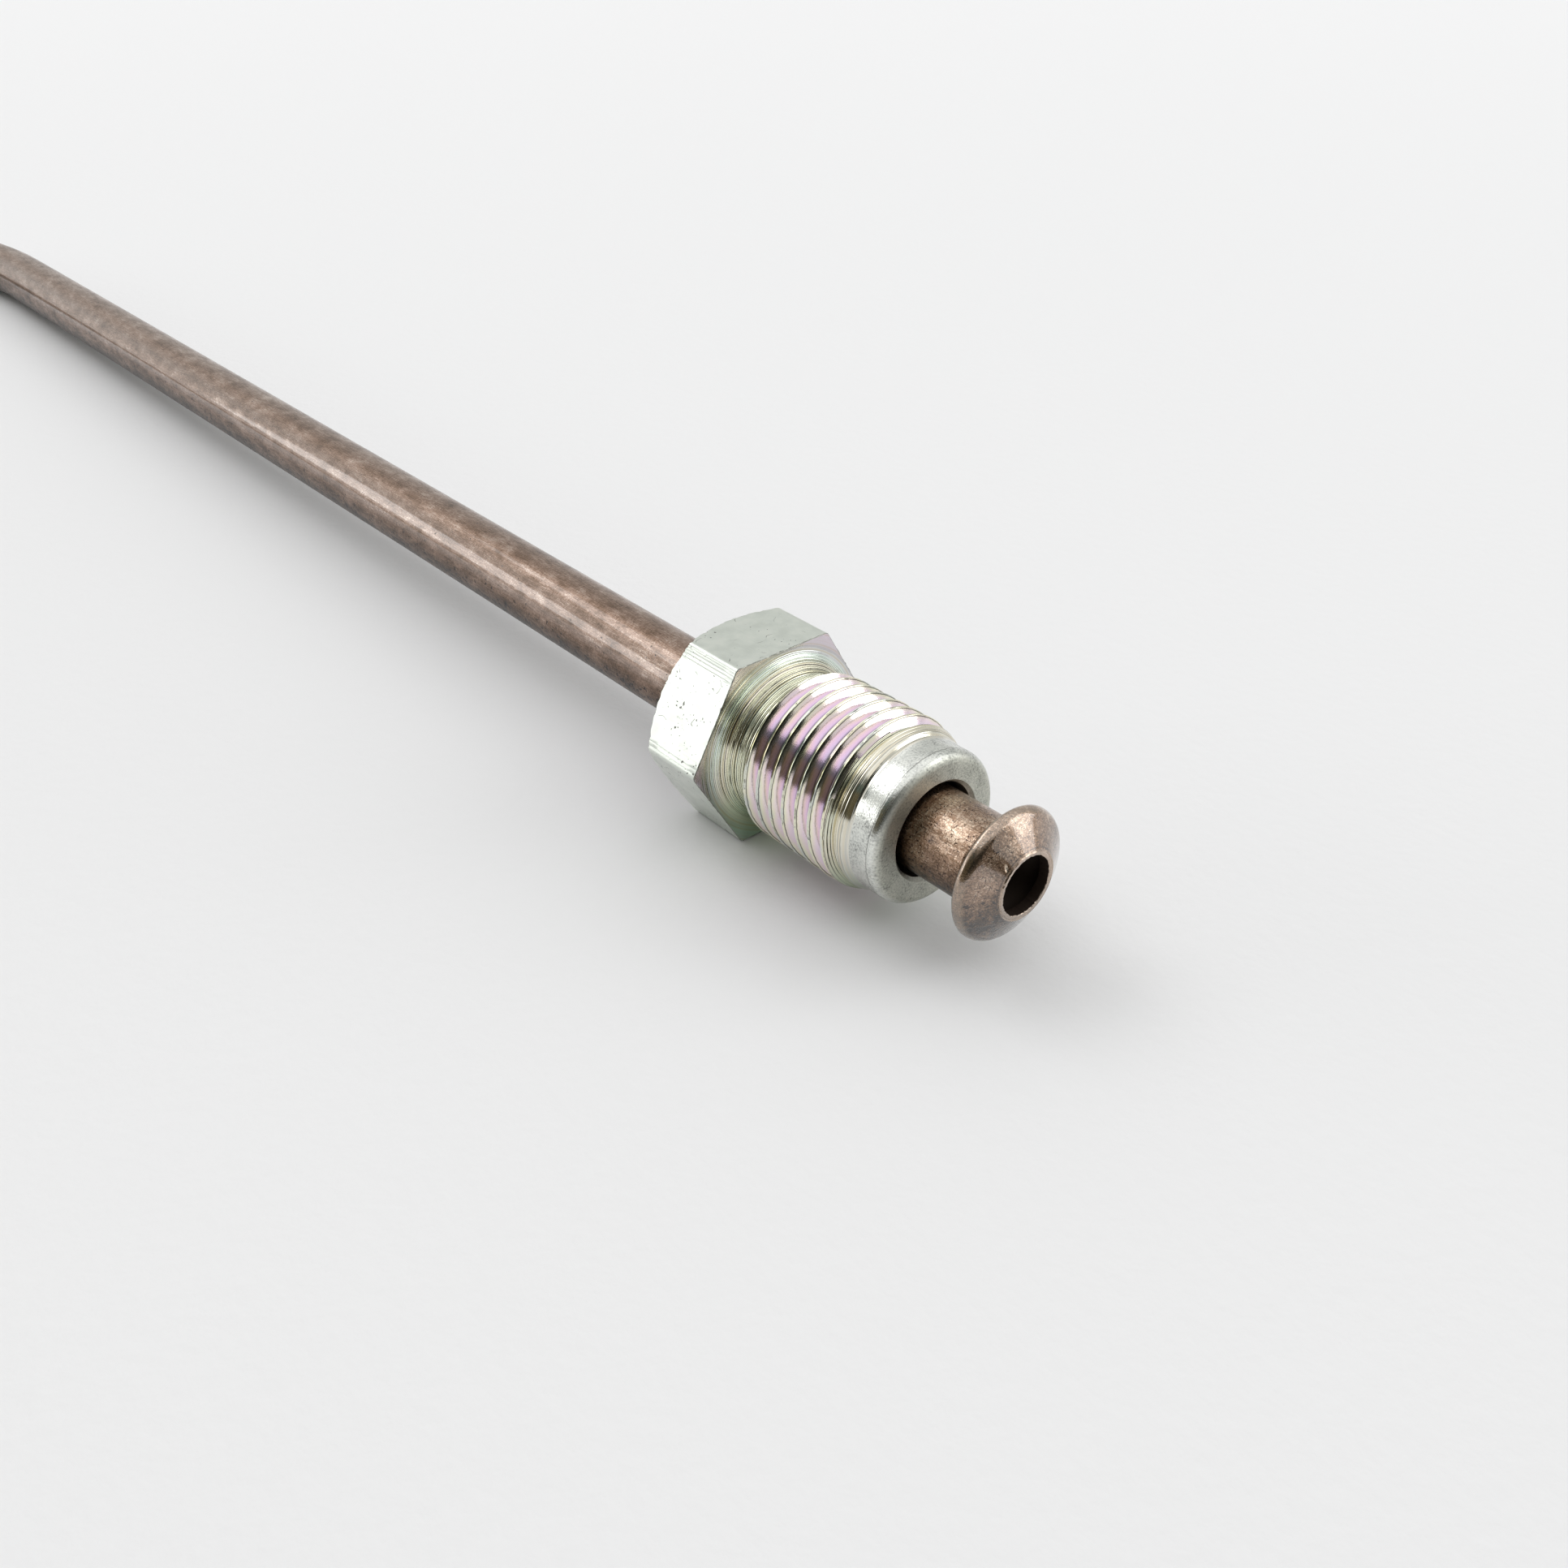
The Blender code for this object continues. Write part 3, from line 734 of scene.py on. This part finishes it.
# %% Where each point would be on a straight pipe
def straightened(point):
    """(across, across, along) of a point if the bend were taken out of the pipe."""
    from_centre = point - BEND_CENTRE
    ahead = -from_centre.dot(FRONT_ALONG)
    aside = from_centre.dot(REAR_ALONG)
    turn = atan2(ahead, -aside)
    if turn <= 0.0 and aside < 0.0:
        distance = FRONT_RUN + ahead
    elif 0.0 < turn < BEND_ANGLE:
        distance = FRONT_RUN + BEND_RADIUS * turn
    else:
        distance = FRONT_RUN + BEND_RADIUS * BEND_ANGLE + aside
    middle, forward = centre_line(distance)
    normal = FRONT_ALONG.cross(REAR_ALONG).normalized()
    off = point - middle
    return off.dot(forward.cross(normal)), off.dot(normal), distance


def carry_straightened(mesh):
    """Stores the straightened place on every point of the mesh."""
    layer = mesh.attributes.new("straightened", "FLOAT_VECTOR", "POINT")
    values = [c for v in mesh.vertices for c in straightened(Vector(v.co))]
    layer.data.foreach_set("vector", values)
    print("points with a straightened place:", len(mesh.vertices))


carry_straightened(pipe_mesh)


def put_in_scene(name, data, matrix=Matrix.Identity(4)):
    """An object with this data, linked to the scene at this place."""
    thing = bpy.data.objects.new(name, data)
    bpy.context.scene.collection.objects.link(thing)
    thing.matrix_world = matrix
    return thing


def show(name, mesh, matrix, body, node):
    """Puts a piece in place, in the body and for the node that it stands for."""
    piece = put_in_scene(name, mesh, matrix)
    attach(piece, body)
    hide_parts(node)


show("brake_pipe_skin", pipe_mesh, Matrix.Identity(4), "pipe", "brake_pipe")

# %% [markdown]
# The nut. Its sizes repeat the plain model's, because the thread, the edges and
# the tool marks are drawn inside the same outline. Depth is measured back from
# the end of the nose.

# %% The sizes of the nut
NUT_LENGTH = 16.5 * MM
NUT_BORE = PIPE_RADIUS + 0.3 * MM
BORE_CHAMFER = 0.2 * MM
NOSE_RADIUS = 8.65 / 2 * MM
NOSE_LENGTH = 1.8 * MM
NOSE_ROUND = 0.6 * MM
LEAD_IN = 1.5 * MM
RUN_OUT = 0.35 * MM
NECK_RADIUS = 8.6 / 2 * MM
NECK_LENGTH = 0.8 * MM
NECK_FILLET = 1.15 * MM
HEX_REACH = 11.0 / 2 * MM
HEX_LENGTH = 4.75 * MM
HEX_CORNER_ROUND = 0.3 * MM
HEX_FACE_RADIUS = 10.7 / 2 * MM
HEX_CHAMFER = radians(38.0)
HEX_EDGE = 0.035 * MM
HEX_FRONT = NUT_LENGTH - HEX_LENGTH
NECK_END = HEX_FRONT - NECK_FILLET
THREAD_END = NECK_END - NECK_LENGTH - RUN_OUT
print("full thread from", round((NOSE_LENGTH + LEAD_IN) / MM, 2), "to", round(THREAD_END / MM, 2), "mm")

# %% [markdown]
# A fine metric thread, 1 mm from crest to crest, with flanks 60 degrees apart.
# Its crests were rolled shut, which leaves a faint groove along each. A thread
# could be cut with a Boolean, but a radius worked out from depth and angle gives
# clean rows that follow the helix, so the crests stay crisp with few faces.

# %% The screw thread
PITCH = 1.0 * MM
CREST_DEPTH = 6.78 * MM
CREST_HALF = 0.065 * PITCH
CREST_GROOVE = 0.03 * MM
ROOT_HALF = 0.06 * PITCH
CREST_WEAR = 0.03 * MM
WEAR_STEP = radians(3.0)
WEAR_DOWN = 1 / 6
PITCH_SHARES = [0.0, 0.02, 0.045, 0.065, 0.075, 0.13, 0.21, 0.29, 0.37, 0.42, 0.44, 0.47]
HALF_SHARES = PITCH_SHARES + [0.5] + [1.0 - share for share in PITCH_SHARES[:0:-1]]


def blank_radius(depth):
    """The turned blank before threading: lead-in taper, plain part, run-out to the neck."""
    lead_in = NOSE_RADIUS + (THREAD_RADIUS - NOSE_RADIUS) * (depth - NOSE_LENGTH) / LEAD_IN
    run_out = THREAD_RADIUS - (THREAD_RADIUS - NECK_RADIUS) * (depth - THREAD_END) / RUN_OUT
    return min(lead_in, THREAD_RADIUS, run_out)


def crest_wear(crest, angle):
    """From 0 to CREST_WEAR, mostly small, changing smoothly all the way along the crest."""
    way = (2 * pi * crest - angle) / WEAR_STEP
    before = floor(way)
    low, high = [random.Random(before + i).random() ** 2 for i in (0, 1)]
    return CREST_WEAR * (low + (high - low) * (way - before))


def thread_radius(depth, angle):
    """Radius of an endless right-hand thread at this depth and angle."""
    turns = (depth - CREST_DEPTH) / PITCH + angle / (2 * pi)
    crest = floor(turns + 0.5)
    off_crest = abs(turns - crest) * PITCH
    wear = crest_wear(crest, angle)
    if off_crest < CREST_HALF - TOUCH:
        return THREAD_RADIUS - wear - CREST_GROOVE * (1.0 - off_crest / CREST_HALF)
    flank = PITCH / 2 - ROOT_HALF - CREST_HALF
    down = min(1.0, (off_crest - CREST_HALF) / flank)
    return THREAD_RADIUS - THREAD_DEPTH * down - wear * max(0.0, 1.0 - down / WEAR_DOWN)


def thread_rows():
    """Rows that follow the helix, held inside the threaded part by their depth."""
    first = CREST_DEPTH - ceil((CREST_DEPTH - NOSE_LENGTH) / PITCH) * PITCH
    turns = ceil((THREAD_END + RUN_OUT - first) / PITCH) + 2
    starts = [first + (turn + share) * PITCH for turn in range(turns) for share in HALF_SHARES]
    return [("thread", start, 0.0) for start in starts]


print("rows in one turn of thread:", len(HALF_SHARES))

# %% [markdown]
# The hexagon is cold-drawn bar. Its corners are slightly round, the lathe left
# a burr-like bright edge at its front, and a 38 degree chamfer at its back cuts
# the flats in the curved line that every nut has. Rows are placed on that line,
# so it comes out clean. The die scratched fine lines along the flats.

# %% The hexagon
HEX_CORNER = HEX_REACH / cos(pi / 6)
DIE_LINE_DEPTH = 0.018 * MM
DIE_LINE_WIDTH = 0.03 * MM
DIE_LINES = {2: (-2.93, -2.76, -2.58, -2.36, 2.64, 2.88), 4: (-2.80, 2.45, 2.70), 5: (-2.68,)}


def off_flat(angle):
    """Angle from the middle of the nearest flat, from -30 to 30 degrees."""
    return (angle % (pi / 3)) - pi / 6


def hex_radius(angle):
    """Radius of the hexagon with its rounded corners."""
    turn = abs(off_flat(angle))
    centre = (HEX_REACH - HEX_CORNER_ROUND) / cos(pi / 6)
    tangent = atan2((HEX_REACH - HEX_CORNER_ROUND) * tan(pi / 6), HEX_REACH)
    if turn <= tangent:
        return HEX_REACH / cos(turn)
    aside = pi / 6 - turn
    return centre * cos(aside) + sqrt(HEX_CORNER_ROUND ** 2 - (centre * sin(aside)) ** 2)


def chamfer_depth(angle):
    """Where the back chamfer meets the hexagon."""
    return NUT_LENGTH - (hex_radius(angle) - HEX_FACE_RADIUS) * tan(HEX_CHAMFER)


print("hexagon, mm:", round(2 * HEX_REACH / MM, 2), "flats,", round(2 * hex_radius(0.0) / MM, 2), "corners")

# %% [markdown]
# Every row of the nut has the same columns. Even columns would miss the
# hexagon's small corner rounds and the die's narrow scratches, so more are put
# just there and the rest of the nut stays light.

# %% Columns, close together at corners and die lines
NUT_STEP = radians(2.0)
CORNER_STEPS = [radians(a) for a in (0.45, 0.9, 1.4)]


def on_flat(flat, across):
    """The angle of a point at this distance across a flat; flat 1 is the top one."""
    return flat * pi / 3 + pi / 6 + atan2(across, HEX_REACH)


def nut_angles():
    """Angles of the columns: even ones, and extra ones where the hexagon turns or is scratched."""
    angles = set(spread(0.0, 2 * pi, NUT_STEP))
    angles |= set(corner * pi / 3 + side * step
                  for corner in range(7) for step in CORNER_STEPS for side in (-1, 1))
    angles |= set(on_flat(flat, line * MM + side * DIE_LINE_WIDTH)
                  for flat, lines in DIE_LINES.items() for line in lines for side in (-1, 0, 1))
    return sorted(set(round(angle, 7) for angle in angles if 0.0 <= angle <= 2 * pi))


NUT_ANGLES = nut_angles()
NUT_ANGLES[-1] = 2 * pi


def die_line(angle):
    """How deep the die's scratches go at this angle."""
    across = HEX_REACH * tan(off_flat(angle))
    lines = DIE_LINES.get(int(angle // (pi / 3)), ())
    near = any(abs(across - line * MM) < DIE_LINE_WIDTH / 2 for line in lines)
    return DIE_LINE_DEPTH if near else 0.0


print("columns round the nut:", len(NUT_ANGLES))

# %% [markdown]
# The nut is one closed skin: nose, thread, neck, hexagon and chamfer, then back
# through the hole. A rolled or cold-drawn edge is never a perfect line, so the
# hexagon's front edge and the chamfer's line are a few hundredths of a
# millimetre ragged.

# %% The rows of the nut, from the nose to the back and home through the bore
FACE_STEP = 0.3 * MM
FILLET_STEPS = 12


def nut_rows():
    """Each row is (zone, depth or share, radius)."""
    nose = [(0.0, NUT_BORE + BORE_CHAMFER)]
    nose += arc((NOSE_ROUND, NOSE_RADIUS - NOSE_ROUND), NOSE_ROUND, pi, pi / 2, ROUND_STEPS)
    nose += [(NOSE_ROUND + (NOSE_LENGTH - NOSE_ROUND) * i / 4, NOSE_RADIUS) for i in range(1, 5)]
    rows = [("nose", depth, radius) for depth, radius in nose]
    rows += thread_rows()
    neck = [(THREAD_END + RUN_OUT, NECK_RADIUS), (NECK_END - NECK_LENGTH / 2, NECK_RADIUS)]
    neck += arc((NECK_END, NECK_RADIUS + NECK_FILLET), NECK_FILLET, -pi / 2, 0.0, FILLET_STEPS)
    rows += [("turned", depth, radius) for depth, radius in neck]
    fillet_end = NECK_RADIUS + NECK_FILLET
    rows += [("hex_face", HEX_FRONT, radius) for radius in spread(fillet_end, HEX_CORNER, FACE_STEP)]
    rows += [("hex_edge", share, 0.0) for share in (0.0, 0.5, 1.0)]
    rows += [("flats", share, 0.0) for share in spread(0.0, 1.0, 0.1)[1:]]
    rows += [("chamfer", share, 0.0) for share in (0.3, 0.6, 0.85, 1.0)]
    rows += [("bore", NUT_LENGTH, NUT_BORE + BORE_CHAMFER), ("bore", NUT_LENGTH - BORE_CHAMFER, NUT_BORE)]
    return rows + [("nose", BORE_CHAMFER, NUT_BORE)]


EDGE_JITTER = 0.05 * MM
jitter = {angle: random.uniform(-1.0, 1.0) for angle in NUT_ANGLES}
jitter[2 * pi] = jitter[0.0]


def nut_place(row, angle):
    """Depth and radius of one point of the nut."""
    zone, first, second = row
    if zone == "thread":
        depth = first - PITCH * angle / (2 * pi)
        depth = min(max(depth, NOSE_LENGTH), THREAD_END + RUN_OUT)
        return depth, min(thread_radius(depth, angle), blank_radius(depth))
    edge = hex_radius(angle)
    if zone == "hex_face":
        return first, min(second, edge - HEX_EDGE)
    if zone == "hex_edge":
        ragged = EDGE_JITTER * jitter[angle] * sin(pi * first)
        return HEX_FRONT + HEX_EDGE * first, edge - HEX_EDGE * (1.0 - first) + ragged
    if zone == "flats":
        start = HEX_FRONT + HEX_EDGE
        end = chamfer_depth(angle) - EDGE_JITTER * jitter[angle]
        scratch = die_line(angle) * min(1.0, 10 * (1 - first))
        return start + (end - start) * first, edge - scratch
    if zone == "chamfer":
        start = chamfer_depth(angle)
        return start + (NUT_LENGTH - start) * first, edge + (HEX_FACE_RADIUS - edge) * first
    return first, second


def nut_point(row, angle):
    """The same point in the nut's own frame."""
    depth, radius = nut_place(row, angle)
    return radius * cos(angle), radius * sin(angle), -depth


ROLLED_FROM = NOSE_LENGTH + 0.9 * LEAD_IN
NUT_SLOTS = {"nose": 0, "turned": 2, "hex_face": 2, "hex_edge": 3, "flats": 3, "chamfer": 2, "bore": 4}


def nut_slot(row, angle):
    """The finish of a face: the thread's own, but for the turned taper and run-out at its ends."""
    if row[0] != "thread":
        return NUT_SLOTS[row[0]]
    depth = row[1] - PITCH * angle / (2 * pi)
    return 1 if ROLLED_FROM < depth < THREAD_END else 2


nut_metals = [nose_zinc, thread_zinc, turned_zinc, flat_zinc, bore_zinc]
nut_mesh = skin_from_rows("tube_nut_skin", nut_rows(), NUT_ANGLES, nut_point, nut_metals, nut_slot)
show("tube_nut_front_skin", nut_mesh, nut_matrix("tube_nut_front", FRONT_ALONG), "front_nut",
     "tube_nut_front")
show("tube_nut_rear_skin", nut_mesh, nut_matrix("tube_nut_rear", REAR_ALONG), "rear_nut",
     "tube_nut_rear")

# %% [markdown]
# The camera stands where the photograph's stood: 35 degrees above the table,
# close in front of the flare, with a slightly wide lens.

# %% The camera
CAMERA_PLACE = Vector((4.881, -133.991, 51.629)) * MM
CAMERA_FORWARD = Vector((0.54327, 0.61950, -0.56663)).normalized()
CAMERA_ROLL = radians(0.81)
CAMERA_LENS = 35.27
CAMERA_NEAR = 5 * MM
CAMERA_FAR = 20.0

looking = CAMERA_FORWARD.to_track_quat("-Z", "Y").to_matrix().to_4x4()
camera = put_in_scene("camera", bpy.data.cameras.new("camera"),
                      Matrix.Translation(CAMERA_PLACE) @ looking @ Matrix.Rotation(CAMERA_ROLL, 4, "Z"))
camera.data.lens = CAMERA_LENS
camera.data.clip_start = CAMERA_NEAR
camera.data.clip_end = CAMERA_FAR
bpy.context.scene.camera = camera
print("camera looks down", round(-90 + 180 / pi * CAMERA_FORWARD.angle(Vector((0, 0, 1))), 1), "degrees")

# %% [markdown]
# The studio. Shiny metal shows what stands round it, so the room matters as
# much as the metal: a white table, a pale grey room, a tall window to the right,
# a low and a high one to the left, and a dark card behind the camera that gives
# the threads their dark bands. The table is uncoated board, which gives the eye
# soft shadows and no mirror. Its grain is drawn as coarse as it needs to show.

# %% A round white table
TABLE_RADIUS = 0.85
TABLE_SIDES = 96
BOARD_GRAIN = 0.9 * MM
BOARD_RELIEF = 0.06 * MM


def matte_white_board():
    """Uncoated white board: dull, with a very faint grain."""
    material, tree = new_material("matte_white_board")
    place = add_node(tree, "TexCoord").outputs["Object"]
    grain = add_node(tree, "TexNoise", {"Vector": place, "Scale": 1 / BOARD_GRAIN, "Detail": 5.0})
    bump = add_node(tree, "Bump", {"Height": grain, "Strength": 0.6, "Distance": BOARD_RELIEF})
    return finished(material, add_node(tree, "BsdfPrincipled", {
        "Base Color": linear("#EFEFF0"), "Roughness": 0.9, "Specular IOR Level": 0.2, "Normal": bump}))


def stage_piece(name, corners, faces, material):
    """A sheet that belongs to the studio and not to the part."""
    mesh = bpy.data.meshes.new(name)
    mesh.from_pydata(corners, [], faces)
    mesh.materials.append(material)
    piece = put_in_scene(name, mesh)
    print(f"{name}: {len(faces)} faces")
    return piece


table_turns = [2 * pi * i / TABLE_SIDES for i in range(TABLE_SIDES)]
table_edge = [(TABLE_RADIUS * cos(turn), TABLE_RADIUS * sin(turn), 0.0) for turn in table_turns]
stage_piece("table", table_edge, [tuple(range(TABLE_SIDES))], matte_white_board())

# %% [markdown]
# Lamps are placed by the direction they come from, seen from the nut. A lamp on
# the right at 24 degrees is then simply that, wherever the part lies. They stand
# well away, so the table is lit evenly.

# %% Directions in the studio, as seen from the camera
AHEAD = Vector((CAMERA_FORWARD.x, CAMERA_FORWARD.y, 0.0)).normalized()
RIGHT = Vector((AHEAD.y, -AHEAD.x, 0.0))
SUBJECT = end_centre("tube_nut_front", FRONT_ALONG)


def towards(azimuth, elevation):
    """Unit vector: azimuth 0 is straight ahead and 90 to the right, elevation is above the table."""
    a = radians(azimuth)
    e = radians(elevation)
    return (AHEAD * cos(a) + RIGHT * sin(a)) * cos(e) + Vector((0, 0, sin(e)))


LAMP_DISTANCE = 4.0


def window(name, azimuth, elevation, width, height, brightness):
    """A soft rectangular lamp that faces the nut; brightness 1 looks as bright as white paper."""
    light = bpy.data.lights.new(name, "AREA")
    light.shape = "RECTANGLE"
    light.size = width
    light.size_y = height
    light.energy = brightness * pi * width * height
    away = towards(azimuth, elevation)
    lamp = put_in_scene(name, light, Matrix.Translation(SUBJECT + away * LAMP_DISTANCE)
                        @ away.to_track_quat("Z", "Y").to_matrix().to_4x4())
    lamp.visible_camera = False
    print(f"{name}: {round(light.energy, 1)} W")


window("window_right", 91.0, 24.0, 2.29, 3.06, 1.85)
window("window_left_high", -64.0, 47.0, 2.29, 1.60, 2.1)
window("window_left_low", -85.0, 13.0, 2.66, 1.06, 1.7)

# %% [markdown]
# Bright metal in an all-white room looks flat. Dark cards round the camera's
# side are mirrored as the dark bands in the threads and the dark edges in the
# neck, and their colours are the brown and grey-green that show in those bands.

# %% The cards behind and beside the camera
CARD_DISTANCE = 0.9
CARD_STRIP = 12.0
CARD_LIFT = 1 * MM


def matte_card(name, hex_colour):
    """Uncoated card: no shine at all."""
    material, tree = new_material(name)
    return finished(material, add_node(tree, "BsdfPrincipled", {
        "Base Color": linear(hex_colour), "Roughness": 1.0, "Specular IOR Level": 0.0}))


def curved_card(name, turn_from, turn_to, low, high, hex_colour):
    """A card bent round the nut between two azimuths and two elevations, in degrees."""
    feet = [SUBJECT + towards(turn, 0) * CARD_DISTANCE for turn in spread(turn_from, turn_to, CARD_STRIP)]
    for foot in feet:
        foot.z = CARD_LIFT + CARD_DISTANCE * tan(radians(low))
    rise = Vector((0, 0, CARD_DISTANCE * (tan(radians(high)) - tan(radians(low)))))
    corners = feet + [foot + rise for foot in feet]
    wide = len(feet)
    faces = [(i, i + 1, wide + i + 1, wide + i) for i in range(wide - 1)]
    card = stage_piece(name, corners, faces, matte_card("matte_" + name, hex_colour))
    card.visible_camera = False


curved_card("dark_card_behind", 131, 205, 0, 36, "#3A3C37")
curved_card("grey_card_behind", 147, 205, 36, 51, "#85827B")
curved_card("brown_card_left", 205, 255, 0, 34, "#6A634F")
curved_card("green_grey_card_left", 205, 255, 34, 44, "#58635F")
curved_card("dark_card_high_left", 205, 240, 44, 56, "#5C625E")

# %% [markdown]
# The walls fill the shadows and the ceiling is brighter than the walls, so that
# curved metal runs softly from grey to white.

# %% The pale room
ROOM_LIGHT = 1.12


def pale_room():
    """Walls of a mid grey that turn into a white ceiling."""
    world = bpy.data.worlds.new("pale_room")
    world.use_nodes = True
    tree = world.node_tree
    tree.nodes.clear()
    direction = add_node(tree, "TexCoord").outputs["Generated"]
    height = add_node(tree, "SeparateXYZ", {"Vector": direction}).outputs["Z"]
    colour = ramp_stops(add_node(tree, "ValToRGB", {"Fac": height}), [
        (0.0, "#D2D2D0"), (0.55, "#D0D1CF"), (0.80, "#FAFAFA"), (1.0, "#FFFFFF")])
    background = add_node(tree, "Background", {"Color": colour, "Strength": ROOM_LIGHT})
    add_node(tree, "OutputWorld", {"Surface": background})
    return world


bpy.context.scene.world = pale_room()
bpy.context.scene.view_settings.view_transform = "Standard"
print("strength of the room's light:", ROOM_LIGHT)
